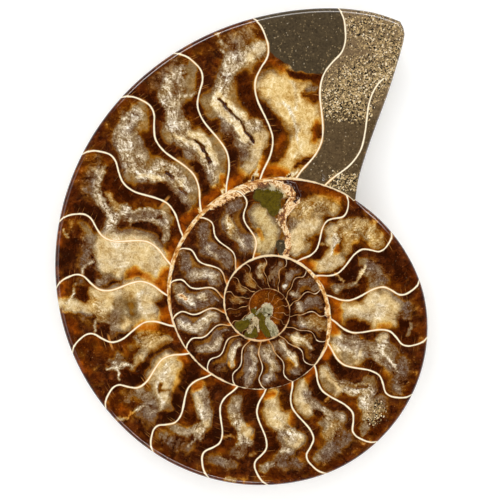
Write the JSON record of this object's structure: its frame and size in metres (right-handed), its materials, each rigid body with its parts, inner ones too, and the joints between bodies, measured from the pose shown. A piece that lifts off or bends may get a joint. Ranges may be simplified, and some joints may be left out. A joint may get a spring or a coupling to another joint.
{
  "type": "ammonite fossil half",
  "caption": "Half of a coiled ammonite fossil, sawn along its coil and polished to show mineral-filled chambers, lying on its rounded flank.",
  "frame": {"origin": "centre of the bounding box, on the surface that the fossil lies on", "axes": "+Z is the outward normal of the polished sawn face; +Y runs from the first half-turn of the last whorl towards the sawn aperture end, along the longest extent; +X is to the right with the sawn face towards the viewer and the aperture end at the top"},
  "size_m": [0.1014, 0.1298, 0.017],
  "materials": {
    "fossil_stone": "polished calcite and cream septa on the sawn face, satin tan-brown shell on the flank"
  },
  "bodies": {
    "root": {"ammonite_half": "fossil_stone"}
  },
  "joints": []
}
